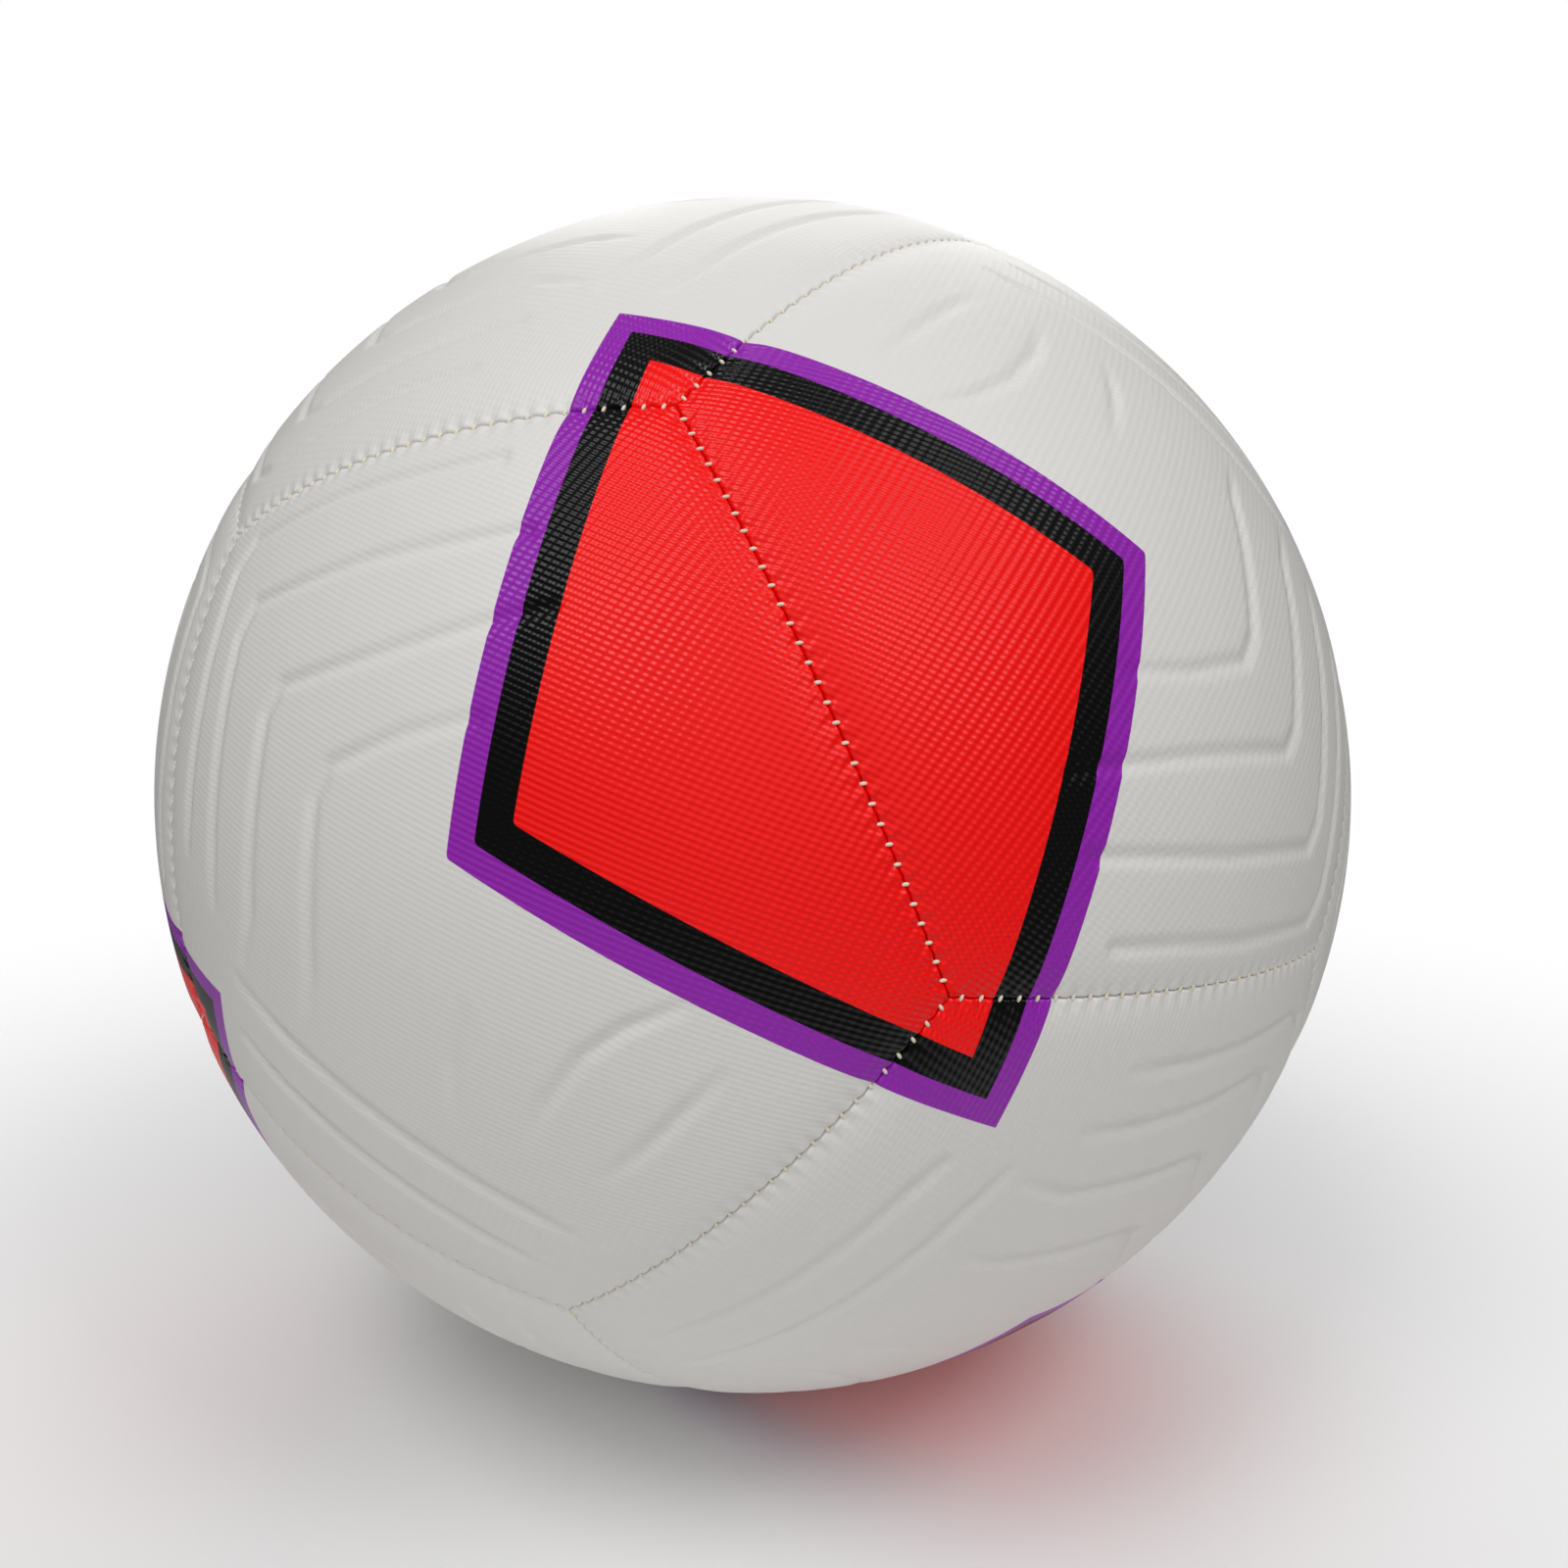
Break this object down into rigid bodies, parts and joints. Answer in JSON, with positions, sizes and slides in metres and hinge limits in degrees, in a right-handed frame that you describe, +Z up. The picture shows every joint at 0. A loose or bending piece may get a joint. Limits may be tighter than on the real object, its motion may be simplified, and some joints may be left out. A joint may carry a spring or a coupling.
{
  "type": "soccer ball",
  "caption": "Stitched soccer ball of pentagon panels in layers over a rubber bladder, with a push-in valve plug pierced for an inflating needle.",
  "frame": {"origin": "centre of the ball", "axes": "+Z up as the ball lies, -Y towards the front, where one of the six prints and the centre seam through it face; the pattern's square axes are turned from the row axes"},
  "size_m": [0.22, 0.22, 0.22],
  "materials": {
    "printed_cover": "satin",
    "foam": "matte",
    "lining_cloth": "matte",
    "seam_thread": "satin",
    "bladder_rubber": "matte",
    "valve_rubber": "matte",
    "plug_rubber": "satin"
  },
  "bodies": {
    "ball": {"cover_panel_01": "printed_cover", "cover_panel_02": "printed_cover", "cover_panel_03": "printed_cover", "cover_panel_04": "printed_cover", "cover_panel_05": "printed_cover", "cover_panel_06": "printed_cover", "cover_panel_07": "printed_cover", "cover_panel_08": "printed_cover", "cover_panel_09": "printed_cover", "cover_panel_10": "printed_cover", "cover_panel_11": "printed_cover", "cover_panel_12": "printed_cover", "foam_backing_01": "foam", "foam_backing_02": "foam", "foam_backing_03": "foam", "foam_backing_04": "foam", "foam_backing_05": "foam", "foam_backing_06": "foam", "foam_backing_07": "foam", "foam_backing_08": "foam", "foam_backing_09": "foam", "foam_backing_10": "foam", "foam_backing_11": "foam", "foam_backing_12": "foam", "cloth_lining_01": "lining_cloth", "cloth_lining_02": "lining_cloth", "cloth_lining_03": "lining_cloth", "cloth_lining_04": "lining_cloth", "cloth_lining_05": "lining_cloth", "cloth_lining_06": "lining_cloth", "cloth_lining_07": "lining_cloth", "cloth_lining_08": "lining_cloth", "cloth_lining_09": "lining_cloth", "cloth_lining_10": "lining_cloth", "cloth_lining_11": "lining_cloth", "cloth_lining_12": "lining_cloth", "centre_seam_threads": "seam_thread", "side_seam_threads": "seam_thread", "bladder": "bladder_rubber", "valve_patch": "bladder_rubber", "balance_patch": "bladder_rubber", "valve_housing": "valve_rubber"},
    "plug": {"valve_plug": "plug_rubber"}
  },
  "joints": [
    {"name": "plug_pull", "type": "slide", "parent": "ball", "child": "plug", "axis": [0.4138, 0.9088, -0.0536], "range_m": [0, 0.02]}
  ]
}
